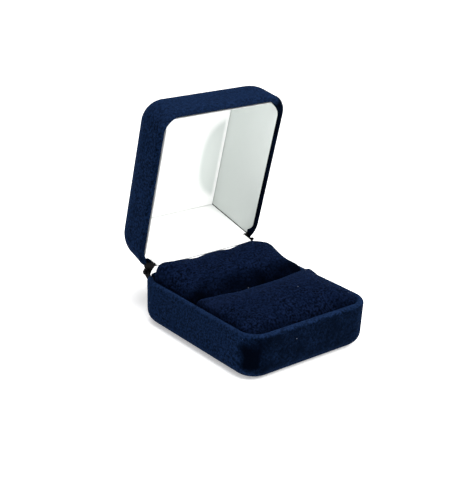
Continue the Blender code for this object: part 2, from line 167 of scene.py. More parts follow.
# Soft spots of the cushions, as (point, move, reach), and how far each stands over its CAD cover
REAR_SPOTS = (
    ((-0.0075, 0.0215, 0.0200), (0, 0, -0.0006), 0.0055),
    ((0.0062, 0.0215, 0.0200), (0, 0, -0.0006), 0.0050),
    ((0.0200, 0.0215, 0.0185), (0, 0, -0.0010), 0.0060),
    ((-0.0195, 0.0215, 0.0180), (-0.0003, 0, 0.0009), 0.0050),
)
FRONT_SPOTS = (
    ((-0.0090, -0.0040, 0.0170), (0, 0, -0.0003), 0.0070),
    ((0.0080, -0.0120, 0.0170), (0, 0, 0.0003), 0.0070),
)
REAR_CROWN = 0.0004
FRONT_CROWN = 0.0

# Flaps of the lining: how much painted grey-green shade each has at the rim and at its crease with the
# ceiling. The crease is this far under the lid's top, and the shade changes over a band this wide
FLAP_SHADES = {"left": (0.2, 0.6), "right": (0.85, 0.92), "front": (0.2, 0.6), "rear": (0.0, 0.12)}
CREASE_DEPTH = 0.0025
CREASE_SHADE = 0.0060

# Their faces are merged where they are this flat, and edges sharper than this are rounded off
FLAP_FLAT_ANGLE = math.radians(2)
FLAP_EDGE_ANGLE = math.radians(30)
FLAP_EDGE = 0.00014
FLAP_EDGE_STEPS = 3

# Ceiling of the lid: half its width and length, and where its cloth is held
CEILING_HALF_X, CEILING_HALF_Y = 0.0133, 0.0177
CEILING_CUTS_X, CEILING_CUTS_Y = 40, 54
ON_EDGE = 0.999

# Painted grey-green shade in the dish beside the ceiling's right-hand crease: it starts, is full, fades and
# ends here in X, and the crease's own edge is left unshaded
DISH_SHADE = 0.95
DISH_START, DISH_FULL = 0.0034, 0.0062
DISH_FADE, DISH_END = 0.0121, 0.0125

# The skirt past the ceiling's rolled edge, and the wadding behind the satin, a little smaller than it
SKIRT = 0.0006
SKIRT_DRAFT = 0.0003
WADDING_GAP = 0.0001
WADDING_SHARE = 0.97
WADDING_LIFT = 0.002

# Signs of X and Y at the four upright corners
CORNERS = ((1, 1), (-1, 1), (-1, -1), (1, -1))


def length(name, description, default):
    return FloatProperty(
        name=name, description=description, default=default, unit="LENGTH", subtype="DISTANCE", precision=5
    )


def colour(name, description, default):
    return FloatVectorProperty(
        name=name, description=description, default=default, subtype="COLOR", size=3, min=0.0, max=1.0
    )


class RingBoxSizes(bpy.types.PropertyGroup):
    """Sizes of the covers, cushions and lining."""

    width: length("Width", "Outer width of the box", cover_high.x - cover_low.x)
    depth: length("Depth", "Outer depth of the box", cover_high.y - cover_low.y)
    base_height: length("Base height", "Height of the base at its rim", cover_high.z)
    lid_height: length("Lid height", "Height of the lid above its rim", 0.0165)
    corner_radius: length("Corner radius", "Radius of the upright corners", 0.0072)
    base_edge: length("Base edge", "Radius round the bottom of the base", 0.0044)
    lid_edge: length("Lid edge", "Radius round the top of the lid", 0.0094)
    base_draft: length("Base draft", "How far the base's walls lean in", 0.00025)
    lid_draft: length("Lid draft", "How far the lid's walls lean in", 0.0008)
    rim_wall: length("Rim wall", "Thickness of a wall at its rolled rim", 0.0022)
    velour: length("Velour", "Thickness of the velour cover", 0.0006)
    hem: length("Hem", "How far the velour turns down inside the rim", 0.004)
    parting: length("Parting gap", "Gap between the base and the shut lid", 0.0003)
    slot_inner: length("Slot inner side", "Inner side of the hinge slots from the middle", 0.0193)
    slot_outer: length("Slot outer side", "Outer side of the hinge slots from the middle", 0.0210)
    slot_reach: length("Slot reach", "Length of the hinge slots each way from the hinge", 0.0040)
    nap_depth: length("Nap depth", "How far clumps of pile stand out", 0.00006)
    pad_skin: length("Cushion skin", "From the foam block to the face of the velour", 0.00095)
    pad_swell: length("Cushion swell", "How far the cushions may swell when stuffed", 0.0005)
    pad_foot: length("Cushion foot", "Height at which the cushions rest on the board", 0.00272)
    ceiling_edge: length("Ceiling edge", "Height of the ceiling's raised edge with the lid shut", 0.02750)
    ceiling_sink: length("Ceiling sink", "How far the middle of the ceiling sinks into the lid", 0.00050)
    ceiling_roll: length("Ceiling roll", "Radius of the ceiling's rolled edge", 0.00035)
    satin: length("Satin", "Thickness of the satin", 0.0003)
    wadding: length("Wadding", "Least thickness of the wadding behind the satin", 0.0002)


class RingBoxColours(bpy.types.PropertyGroup):
    """Colours of the finishes."""

    velour: colour("Velour", "Outer velour", (0.0015, 0.0054, 0.0182))
    cushion: colour("Cushion velour", "Velour on the cushions", (0.0009, 0.0030, 0.0118))
    satin: colour("Satin", "White lining satin", (0.93, 0.94, 0.93))
    # Colour of the painted shade in the lining's folds and beside its crease
    satin_shade: colour("Satin shade", "Grey-green of the lining in its folds", (0.47, 0.53, 0.50))
    black_steel: colour("Black steel", "Painted steel of the shells and hinge", (0.003, 0.003, 0.004))
    spring_steel: colour("Spring steel", "Bare steel of the spring and rivets", (0.34, 0.35, 0.37))
    card: colour("Card", "Grey card under the cushions and over the ceiling", (0.42, 0.39, 0.34))
    lint: colour("Lint", "Specks of lint on the pile", (0.30, 0.33, 0.42))


# Small helpers


def deselect():
    bpy.ops.object.select_all(action="DESELECT")


def activate(obj):
    deselect()
    obj.select_set(True)
    bpy.context.view_layer.objects.active = obj


def into_edit(obj):
    activate(obj)
    bpy.ops.object.mode_set(mode="EDIT")
    bpy.ops.mesh.select_all(action="SELECT")


def out_of_edit():
    bpy.ops.object.mode_set(mode="OBJECT")


def resize(obj, value):
    """Scales a piece about the origin, in its mesh."""
    into_edit(obj)
    bpy.ops.transform.resize(value=value, center_override=(0, 0, 0))
    out_of_edit()


def apply_modifiers(obj):
    activate(obj)
    for modifier in list(obj.modifiers):
        bpy.ops.object.modifier_apply(modifier=modifier.name)


def pick(obj, kind, test):
    """In edit mode, selects only the vertices, edges or faces that pass the test."""
    bpy.ops.mesh.select_mode(type={"verts": "VERT", "edges": "EDGE", "faces": "FACE"}[kind])
    bpy.ops.mesh.select_all(action="DESELECT")
    bm = bmesh.from_edit_mesh(obj.data)
    for element in getattr(bm, kind):
        if test(element):
            element.select = True
    bm.select_flush_mode()
    bmesh.update_edit_mesh(obj.data)


def smooth(obj):
    activate(obj)
    bpy.ops.object.shade_smooth_by_angle(angle=SHARP_ANGLE)


def paint(obj, name, rule):
    """Stores a number from 0 to 1 at each vertex, for a material to read."""
    attribute = obj.data.attributes.new(name, "FLOAT", "POINT")
    attribute.data.foreach_set("value", [min(1.0, max(0.0, rule(v.co))) for v in obj.data.vertices])


def turn_open(obj):
    """Turns a piece that was drawn with the lid shut to where it is with the lid open."""
    into_edit(obj)
    bpy.ops.transform.rotate(value=OPEN_ANGLE, orient_axis="X", center_override=AXIS)
    out_of_edit()


def shut_place(point):
    """Where a point of the open lid is with the lid shut."""
    return Matrix.Rotation(OPEN_ANGLE, 3, "X") @ (point - AXIS) + AXIS


def rise(value, low, high):
    """A smooth step from 0 at low to 1 at high."""
    share = min(1.0, max(0.0, (value - low) / (high - low)))
    return share * share * (3 - 2 * share)


def near(value, edge, band):
    """A smooth step to 1 on the way up to an edge."""
    start, full = band
    return rise(value, edge - start, edge - full)


def past(value, line, band):
    """A smooth step to 1 on the way out from a line."""
    start, full = band
    return rise(value, line + start, line + full)


def copy_of(node, name):
    """A merged copy of a CAD solid as a new piece."""
    mesh = frame["nodes"][node].data.copy()
    mesh.name = name
    mesh.materials.clear()
    obj = bpy.data.objects.new(name, mesh)
    bpy.context.scene.collection.objects.link(obj)
    into_edit(obj)
    bpy.ops.mesh.remove_doubles(threshold=MERGE)
    out_of_edit()
    return obj


def finish_piece(obj, body, slot, material, *nodes):
    """Gives a piece its finish and its body, and hides the CAD nodes that it stands for."""
    obj.data.materials.clear()
    obj.data.materials.append(material)
    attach(obj, body)
    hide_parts(*nodes)


# Materials


class Nodes:
    """A short way to write a material's nodes."""

    def __init__(self, name):
        self.material = bpy.data.materials.new(name)
        self.material.use_nodes = True
        self.tree = self.material.node_tree
        self.shader = self.tree.nodes["Principled BSDF"]
        self.place = self.add("ShaderNodeTexCoord").outputs["Object"]

    def add(self, kind, links=(), **settings):
        node = self.tree.nodes.new(kind)
        for key, value in settings.items():
            setattr(node, key, value)
        for socket, value in dict(links).items():
            self.put(node.inputs[socket], value)
        return node

    def put(self, socket, value):
        if isinstance(value, bpy.types.NodeSocket):
            self.tree.links.new(value, socket)
        else:
            socket.default_value = value

    def set(self, **values):
        for name, value in values.items():
            self.put(self.shader.inputs[name.replace("_", " ")], value)

    def stretched(self, scale, turn=(0, 0, 0)):
        links = {"Vector": self.place, "Scale": scale, "Rotation": turn}
        return self.add("ShaderNodeMapping", links).outputs["Vector"]

    def noise(self, scale, detail=3.0, roughness=0.55, vector=None):
        links = {"Vector": vector or self.place, "Scale": scale, "Detail": detail, "Roughness": roughness}
        return self.add("ShaderNodeTexNoise", links).outputs["Fac"]

    def ramp(self, value, low, high, low_out=0.0, high_out=1.0):
        links = {"Value": value, "From Min": low, "From Max": high, "To Min": low_out, "To Max": high_out}
        return self.add("ShaderNodeMapRange", links, clamp=True).outputs["Result"]

    def math(self, operation, a, b=0.0):
        node = self.add("ShaderNodeMath", operation=operation)
        self.put(node.inputs[0], a)
        self.put(node.inputs[1], b)
        return node.outputs["Value"]

    def mix(self, amount, a, b):
        node = self.add("ShaderNodeMix", data_type="RGBA")
        self.put(node.inputs["Factor"], amount)
        self.put(node.inputs["A"], a)
        self.put(node.inputs["B"], b)
        return node.outputs["Result"]

    def attribute(self, name):
        return self.add("ShaderNodeAttribute", attribute_name=name).outputs["Fac"]

    def bump(self, height, distance, strength=1.0):
        links = {"Height": height, "Distance": distance, "Strength": strength}
        self.set(Normal=self.add("ShaderNodeBump", links).outputs["Normal"])


def tint(base, factor, grey=0.0):
    """A lighter or darker tone of a colour, with some grey added."""
    return (*[min(1.0, value * factor + grey) for value in base], 1.0)


def velour_material(name, base, sheen, lint):
    """Short pile: clumps, brushed patches, worn rims, painted light on a crest, painted shade and specks of
    lint.
    """
    n = Nodes(name)
    hollow, tip, combed = tint(base, 0.08), tint(base, 2.3, 0.0020), tint(base, 1.5)
    # rubbed is the tone of worn pile and of painted light; shadowed is the tone of painted shade
    rubbed, shadowed = tint(base, 2.6, 0.004), tint(base, 0.15)
    clumps = n.noise(1500, 4.0, 0.70)
    patches = n.noise(190, 3.0, 0.6)
    fibres = n.noise(7000, 2.0, 0.7)
    pile = n.mix(n.ramp(clumps, 0.41, 0.60), hollow, tip)
    brushed = n.mix(n.ramp(patches, 0.30, 0.72, 0.0, 0.35), pile, combed)
    # Worn pile, and painted light where a cushion's crest is painted lighter
    wear = n.math("MULTIPLY", n.attribute("wear"), n.ramp(clumps, 0.3, 0.7, 0.45, 1.0))
    worn = n.mix(wear, brushed, rubbed)
    # Painted shade, with its edge broken up by the brushed patches
    lay = n.math("ADD", n.attribute("lay"), n.math("SUBTRACT", patches, 0.5))
    with_painted_shade = n.mix(n.ramp(lay, 0.20, 0.95), worn, shadowed)
    cells = n.add("ShaderNodeTexVoronoi", {"Vector": n.place, "Scale": 300})
    specks = n.math("LESS_THAN", cells.outputs["Distance"], 0.06)
    draw = n.add("ShaderNodeSeparateColor", {"Color": cells.outputs["Color"]}).outputs["Red"]
    rare = n.math("GREATER_THAN", draw, 0.90)
    linted = n.mix(n.math("MULTIPLY", n.math("MULTIPLY", specks, rare), 0.22), with_painted_shade, (*lint, 1.0))
    n.set(Base_Color=linted, Roughness=n.ramp(clumps, 0.3, 0.7, 0.82, 0.98))
    n.set(Sheen_Weight=sheen, Sheen_Roughness=0.38, Sheen_Tint=(0.08, 0.24, 0.70, 1.0))
    n.set(Specular_IOR_Level=0.005)
    n.bump(n.math("ADD", n.math("MULTIPLY", clumps, 0.7), n.math("MULTIPLY", fibres, 0.3)), 0.00030, 0.8)
    return n.material


def satin_material(name, base, shade):
    """White satin: fine crossed threads, a soft sheen, and painted grey-green shade in the folds."""
    n = Nodes(name)
    along = {"Vector": n.place, "Scale": 1100, "Distortion": 1.2, "Detail": 1.0}
    across = {"Vector": n.place, "Scale": 1500, "Distortion": 1.0, "Detail": 1.0}
    threads = n.add("ShaderNodeTexWave", along)
    cross = n.add("ShaderNodeTexWave", across, bands_direction="Z")
    weave = n.math("ADD", threads.outputs["Fac"], cross.outputs["Fac"])
    slubs = n.noise(1.0, 3.0, 0.6, n.stretched((260, 60, 60)))
    clean = n.mix(n.ramp(slubs, 0.35, 0.7), tint(base, 0.97), tint(base, 1.02))
    # Painted grey-green shade, where the fold attribute is painted
    painted_satin_shade = n.mix(n.math("MULTIPLY", n.attribute("fold"), 0.75), clean, (*shade, 1.0))
    n.set(Base_Color=painted_satin_shade, Roughness=n.ramp(slubs, 0.3, 0.7, 0.46, 0.60))
    n.set(Sheen_Weight=0.25, Sheen_Roughness=0.3, Anisotropic=0.4, Specular_IOR_Level=0.35)
    n.bump(n.math("ADD", n.math("MULTIPLY", weave, 0.5), slubs), 0.00002, 0.35)
    return n.material


def painted_steel_material(name, base):
    """Black stoved paint with a fine orange peel, and dull grey where it has rubbed."""
    n = Nodes(name)
    peel = n.noise(2600, 2.0)
    rubbed = n.ramp(n.noise(420, 5.0, 0.7), 0.68, 0.80, 0.0, 0.25)
    n.set(Base_Color=n.mix(rubbed, (*base, 1.0), tint(base, 6.0)))
    n.set(Roughness=n.ramp(peel, 0.3, 0.7, 0.42, 0.60))
    n.set(Specular_IOR_Level=0.02)
    n.set(Metallic=n.math("MULTIPLY", rubbed, 0.3))
    n.bump(peel, 0.00002, 0.5)
    return n.material


def brushed_steel_material(name, base):
    """Rolled spring strip: fine streaks along its length and a few dark spots."""
    n = Nodes(name)
    streaks = n.noise(1.0, 4.0, 0.7, n.stretched((300, 2500, 9000)))
    spots = n.ramp(n.noise(900, 4.0, 0.7), 0.66, 0.74)
    n.set(Base_Color=n.mix(spots, n.mix(streaks, tint(base, 0.8), tint(base, 1.25)), tint(base, 0.35)))
    n.set(Roughness=n.ramp(streaks, 0.3, 0.7, 0.24, 0.44), Metallic=1.0, Anisotropic=0.5)
    n.bump(streaks, 0.00001, 0.4)
    return n.material


def card_material(name, base):
    """Grey board with short fibres and a mottled face."""
    n = Nodes(name)
    fibres = n.noise(1.0, 4.0, 0.7, n.stretched((1800, 5200, 5200), (0, 0, 0.5)))
    mottle = n.noise(380, 3.0)
    n.set(Base_Color=n.mix(fibres, tint(base, 0.82), n.mix(mottle, tint(base, 1.0), tint(base, 1.2))))
    n.set(Roughness=n.ramp(fibres, 0.3, 0.7, 0.86, 0.98), Specular_IOR_Level=0.2)
    n.bump(fibres, 0.00004, 0.6)
    return n.material


def wadding_material(name, base):
    """Bonded white fibre."""
    n = Nodes(name)
    strands = n.noise(1.0, 5.0, 0.75, n.stretched((900, 2600, 2600), (0.3, 0.2, 0.9)))
    n.set(Base_Color=n.mix(strands, tint(base, 0.85), tint(base, 1.0)))
    n.set(Roughness=n.ramp(strands, 0.3, 0.7, 0.9, 1.0))
    n.set(Sheen_Weight=0.4)
    n.bump(strands, 0.0002, 0.8)
    return n.material


def finish(name, maker, *arguments):
    """A material, made once and then shared."""
    return bpy.data.materials.get(name) or maker(name, *arguments)


def outer_velour(context):
    colours = context.scene.ring_box_colours
    return finish("velour_outer", velour_material, tuple(colours.velour), COVER_SHEEN, tuple(colours.lint))


def lining_satin(context):
    colours = context.scene.ring_box_colours
    return finish("satin_lining", satin_material, tuple(colours.satin), tuple(colours.satin_shade))


# Trays: the pressed shape that the base and the lid share


def tray_levels(s, height, edge, draft):
    """(inset, inset of the corners, height) from the closed side, up the wall, over the rim and inside."""
    rate = min(1, s.corner_radius / edge)
    levels = []
    for step in range(EDGE_STEPS + 1):
        angle = math.pi / 2 * step / EDGE_STEPS
        curve = edge * (1 - math.sin(angle))
        z = edge * (1 - math.cos(angle))
        corner_inset = min(curve * rate, s.corner_radius - LEAST_CORNER)
        levels.append((curve + draft * (1 - z / height), corner_inset, z))
    fold = s.rim_wall / 2
    top = height - fold
    for step in range(1, WALL_STEPS):
        z = edge + (top - edge) * step / WALL_STEPS
        levels.append((draft * (1 - z / height), 0, z))
    for step in range(FOLD_STEPS + 1):
        angle = math.pi * step / FOLD_STEPS
        inset = fold * (1 - math.cos(angle))
        levels.append((inset, inset, top + fold * math.sin(angle)))
    z = top - s.hem
    levels.append((s.rim_wall + draft * (1 - z / height), s.rim_wall, z))
    return levels


def corner_of(s, level):
    """Centre and radius of the right rear corner at one level."""
    inset, corner_inset, z = level
    radius = s.corner_radius - corner_inset
    return Vector((s.width / 2 - inset - radius, s.depth / 2 - inset - radius, z)), radius


def shape_corners(obj, s, old, new):
    """Moves the corners of the ring just extruded, which is still where the last one was in X and Y."""
    bm = bmesh.from_edit_mesh(obj.data)
    ring = {v.index: (v.co.x, v.co.y) for v in bm.verts if v.select}
    (old_centre, old_radius), (centre, radius) = corner_of(s, old), corner_of(s, new)
    scale = radius / old_radius
    for side_x, side_y in CORNERS:
        at_corner = {i for i, (x, y) in ring.items() if x * side_x > 0 and y * side_y > 0}
        pick(obj, "verts", lambda v: v.index in at_corner)
        pivot = (old_centre.x * side_x, old_centre.y * side_y, new[2])
        bpy.ops.transform.resize(value=(scale, scale, 1), center_override=pivot)
        step = ((centre.x - old_centre.x) * side_x, (centre.y - old_centre.y) * side_y, 0)
        bpy.ops.transform.translate(value=step)
    pick(obj, "verts", lambda v: v.index in ring)


def tray_skin(name, s, height, edge, draft):
    """The velour's outer face, open inside the rim, with its closed side down."""
    levels = tray_levels(s, height, edge, draft)
    deselect()
    bpy.ops.mesh.primitive_plane_add(size=1, location=(0, 0, 0))
    obj = bpy.context.object
    obj.name = obj.data.name = name
    into_edit(obj)
    inset, _, _ = levels[0]
    size = (s.width - 2 * inset, s.depth - 2 * inset, 1)
    bpy.ops.transform.resize(value=size, center_override=(0, 0, 0))
    _, radius = corner_of(s, levels[0])
    bpy.ops.mesh.bevel(offset=radius, offset_type="ABSOLUTE", segments=CORNER_STEPS, affect="VERTICES")
    bpy.ops.mesh.select_all(action="SELECT")
    for old, new in zip(levels, levels[1:]):
        bpy.ops.mesh.extrude_region_move(TRANSFORM_OT_translate={"value": (0, 0, new[2] - old[2])})
        shape_corners(obj, s, old, new)
    bpy.ops.mesh.delete(type="ONLY_FACE")
    for axis in (0, 1):
        pick(obj, "edges", lambda e: abs(e.verts[0].co[axis] - e.verts[1].co[axis]) > LONG_EDGE)
        bpy.ops.mesh.subdivide(number_cuts=SIDE_CUTS)
    bpy.ops.mesh.select_all(action="SELECT")
    bpy.ops.mesh.normals_make_consistent(inside=False)
    out_of_edit()
    closed_side = min(obj.data.polygons, key=lambda p: p.center.z)
    if closed_side.normal.z > 0:
        into_edit(obj)
        bpy.ops.mesh.flip_normals()
        out_of_edit()
    return obj


def raise_nap(obj, s, depth_share=1.0, above=None):
    """Fine clumps of pile that stand out of the surface."""
    texture = bpy.data.textures.get("pile") or bpy.data.textures.new("pile", "CLOUDS")
    texture.noise_scale = PILE_CLUMP
    texture.noise_depth = 2
    modifier = obj.modifiers.new("nap", "DISPLACE")
    modifier.texture = texture
    modifier.texture_coords = "LOCAL"
    modifier.strength = s.nap_depth * depth_share
    modifier.mid_level = 0.5
    if above is not None:
        group = obj.vertex_groups.new(name="nap")
        group.add([v.index for v in obj.data.vertices if v.co.z > above], 1.0, "REPLACE")
        modifier.vertex_group = "nap"
    apply_modifiers(obj)


def velour_wall(obj, s):
    """Gives the velour's outer face its thickness, inwards."""
    wall = obj.modifiers.new("wall", "SOLIDIFY")
    wall.thickness = s.velour
    wall.offset = -1
    wall.use_even_offset = True
    apply_modifiers(obj)


def cut_slots(obj, s):
    """The slots in both rear corners that the hinge ears pass through."""
    for side in (-1, 1):
        deselect()
        middle = side * (s.slot_inner + s.slot_outer) / 2
        front = s.depth / 2 - s.corner_radius
        bpy.ops.mesh.primitive_cube_add(size=1, location=(middle, front + s.depth / 2, AXIS.z))
        cutter = bpy.context.object
        into_edit(cutter)
        size = (s.slot_outer - s.slot_inner, s.depth, 2 * s.slot_reach)
        bpy.ops.transform.resize(value=size, center_override=cutter.location)
        out_of_edit()
        modifier = obj.modifiers.new("slot", "BOOLEAN")
        modifier.operation = "DIFFERENCE"
        modifier.object = cutter
        apply_modifiers(obj)
        bpy.data.objects.remove(cutter)


def corner_share(s, co, reach):
    """1 in the middle of the nearest upright corner, falling to 0 this far round from it."""
    centre, radius = corner_of(s, (0, 0, 0))
    dx, dy = abs(co.x) - centre.x, abs(co.y) - centre.y
    if dx <= 0 or dy <= 0:
        return 0.0
    away = abs(math.atan2(dy, dx) - math.pi / 4) * radius
    return 1 - rise(away, reach * CORNER_SHADE_FULL, reach)


class RINGBOX_OT_base_cover(bpy.types.Operator):
    """Velour cover of the base, turned in over the rim"""

    bl_idname = "ringbox.base_cover"
    bl_label = "Base Cover"

    def execute(self, context):
        s = context.scene.ring_box_sizes
        obj = tray_skin("base_velour", s, s.base_height, s.base_edge, s.base_draft)
        raise_nap(obj, s, COVER_NAP, above=COVER_NAP_START)
        velour_wall(obj, s)
        cut_slots(obj, s)
        rim, front = s.base_height, s.depth / 2

        def worn(co):
            return max(RIM_WEAR * near(co.z, rim, RIM_WEAR_BAND), FOOT_WEAR * near(-co.z, 0, FOOT_WEAR_BAND))

        def painted_shade_at(co):
            # Painted shade round the upright corners, strongest at the front left one
            strength = FRONT_LEFT_CORNER_SHADE if co.x < 0 and co.y < 0 else OTHER_CORNER_SHADE
            upright = past(co.z, 0, CORNER_SHADE_START) * (1 - near(co.z, rim, CORNER_SHADE_END))
            # Painted shade on the base's front wall
            on_wall = FRONT_SHADE * near(-co.y, front, FRONT_SHADE_BAND)
            on_wall *= 1 - near(co.z, rim, FRONT_SHADE_END)
            reach = CORNER_SHADE_REACH + CORNER_SHADE_WAVER * math.sin(CORNER_SHADE_WAVES * co.z)
            return max(on_wall, strength * upright * corner_share(s, co, reach))

        paint(obj, "wear", worn)
        paint(obj, "lay", painted_shade_at)
        smooth(obj)
        finish_piece(obj, "base", "velour", outer_velour(context), "base_cover")
        return {"FINISHED"}


class RINGBOX_OT_lid_cover(bpy.types.Operator):
    """Velour cover of the lid, turned in over the rim"""

    bl_idname = "ringbox.lid_cover"
    bl_label = "Lid Cover"

    def execute(self, context):
        s = context.scene.ring_box_sizes
        obj = tray_skin("lid_velour", s, s.lid_height, s.lid_edge, s.lid_draft)
        raise_nap(obj, s)
        velour_wall(obj, s)
        top = s.base_height + s.parting + s.lid_height
        into_edit(obj)
        bpy.ops.transform.rotate(value=math.pi, orient_axis="X", center_override=(0, 0, top / 2))
        out_of_edit()
        cut_slots(obj, s)
        rim, front = s.base_height + s.parting, s.depth / 2
        turned_in = s.width / 2 - 2 * s.rim_wall

        def worn(co):
            return LID_FRONT_WEAR * near(-co.y, front, LID_FRONT_WEAR_BAND)

        # Painted shade on the turned-in velour along the lid's right-hand rim
        def painted_shade_at(co):
            return LID_SIDE_SHADE * past(co.x, turned_in, LID_SIDE_STEP) * near(-co.z, -rim, LID_SIDE_SHADE_BAND)

        paint(obj, "wear", worn)
        paint(obj, "lay", painted_shade_at)
        smooth(obj)
        turn_open(obj)
        finish_piece(obj, "lid", "velour", outer_velour(context), "lid_cover")
        return {"FINISHED"}


# Cloth


def inflate(obj, held):
    """Simulates an enlarged piece of cloth under air pressure and no gravity, with these vertices held."""
    group = obj.vertex_groups.new(name="held")
    group.add(held, 1.0, "REPLACE")
    cloth = obj.modifiers.new("cloth", "CLOTH")
    cloth.settings.use_pressure = True
    cloth.settings.uniform_pressure_force = AIR_PRESSURE
    cloth.settings.vertex_group_mass = "held"
    cloth.settings.effector_weights.gravity = 0
    cloth.point_cache.frame_start = 1
    cloth.point_cache.frame_end = SIM_FRAMES
    for number in range(1, SIM_FRAMES + 1):
        bpy.context.scene.frame_set(number)
    apply_modifiers(obj)
    bpy.context.scene.frame_set(1)
    obj.vertex_groups.clear()


# Cushions


def stuff(obj, s, held_below):
    """Swells a cushion that is held at its foot."""
    resize(obj, (SIM_SCALE,) * 3)
    remesh = obj.modifiers.new("remesh", "REMESH")
    remesh.mode = "VOXEL"
    remesh.voxel_size = VOXEL * SIM_SCALE
    apply_modifiers(obj)
    start = [v.co.copy() for v in obj.data.vertices]
    inflate(obj, [i for i, co in enumerate(start) if co.z < held_below * SIM_SCALE])
    cap = s.pad_swell * SIM_SCALE
    for vertex, co in zip(obj.data.vertices, start):
        move = vertex.co - co
        if move.length > cap:
            vertex.co = co + move * (cap / move.length)
    resize(obj, (1 / SIM_SCALE,) * 3)


def widen(obj, half_width):
    """Fills the ends of a cushion out sideways, so that it stands against the walls up to its top edge."""
    widths = {}
    for vertex in obj.data.vertices:
        level = int(vertex.co.z / SLICE)
        widths[level] = max(widths.get(level, 0.0), abs(vertex.co.x))
    top = max(vertex.co.z for vertex in obj.data.vertices)
    for vertex in obj.data.vertices:
        place = vertex.co.z / SLICE - 0.5
        level = math.floor(place)
        low, high = (widths.get(i, widths[int(vertex.co.z / SLICE)]) for i in (level, level + 1))
        width = low + (high - low) * (place - level)
        over = min(1.0, max(0.0, (vertex.co.z - top + END_ROUNDING) / END_ROUNDING))
        wanted = half_width - END_ROUNDING * (1 - math.sqrt(1 - over * over))
        vertex.co.x *= max(1.0, min(MOST_WIDENING, wanted / width))


def ends_of(obj):
    """The lowest and the highest X, Y and Z of a piece."""
    return [[end(v.co[axis] for v in obj.data.vertices) for axis in range(3)] for end in (min, max)]


def plan_shares(co, low, high):
    """How far out a point lies in X and in Y, from 0 in the middle to 1 at the ends."""
    return [abs(2 * co[i] - low[i] - high[i]) / (high[i] - low[i]) for i in (0, 1)]


def square_up(obj):
    """Lifts the rounded top edges of a cushion, which stand fuller than those of the foam block."""
    low, high = ends_of(obj)
    for vertex in obj.data.vertices:
        if vertex.co.z <= SHOULDER:
            continue
        share = min(max(plan_shares(vertex.co, low, high)), OUTERMOST)
        lift = min((1 - share**TOP_SQUARE) / (1 - share**TOP_ROUND), MOST_LIFT)
        vertex.co.z = SHOULDER + (vertex.co.z - SHOULDER) * lift


def stand_to(obj, foot, top):
    """Stretches a cushion upward from its foot until it stands this high."""
    highest = max(v.co.z for v in obj.data.vertices)
    factor = (top - foot) / (highest - foot)
    for vertex in obj.data.vertices:
        vertex.co.z = foot + (vertex.co.z - foot) * factor


def ring_through(shares, power):
    """Size of the rounded rectangle through a point. A higher power has squarer corners."""
    return sum(share**power for share in shares) ** (1 / power)


def square_plan(obj):
    """Fills out the upright corners of a cushion."""
    low, high = ends_of(obj)
    for vertex in obj.data.vertices:
        shares = plan_shares(vertex.co, low, high)
        if max(shares) < PLAN_MIDDLE:
            continue
        factor = ring_through(shares, PLAN_ROUND) / ring_through(shares, PLAN_SQUARE)
        for i in (0, 1):
            middle, half = (low[i] + high[i]) / 2, (high[i] - low[i]) / 2
            vertex.co[i] = middle + min(half, max(-half, (vertex.co[i] - middle) * factor))


def keep_inside(obj, s):
    """Draws a cushion in where it would stand in the walls of the base."""
    centre, radius = corner_of(s, (s.rim_wall, s.rim_wall, 0))
    reach = radius - WALL_GAP
    for vertex in obj.data.vertices:
        dx, dy = abs(vertex.co.x) - centre.x, abs(vertex.co.y) - centre.y
        away = math.hypot(max(dx, 0), max(dy, 0))
        if away <= reach:
            continue
        if dx > 0:
            vertex.co.x = math.copysign(centre.x + dx * reach / away, vertex.co.x)
        if dy > 0:
            vertex.co.y = math.copysign(centre.y + dy * reach / away, vertex.co.y)


def push(obj, places):
    """Presses or lifts soft spots of the surface: each is (point, move, reach)."""
    for point, move, reach in places:
        into_edit(obj)
        nearest = min(obj.data.vertices, key=lambda v: (v.co - Vector(point)).length_squared).index
        pick(obj, "verts", lambda v: v.index == nearest)
        bpy.ops.transform.translate(
            value=move,
            use_proportional_edit=True,
            proportional_edit_falloff="SMOOTH",
            proportional_size=reach,
            use_proportional_connected=False,
        )
        out_of_edit()


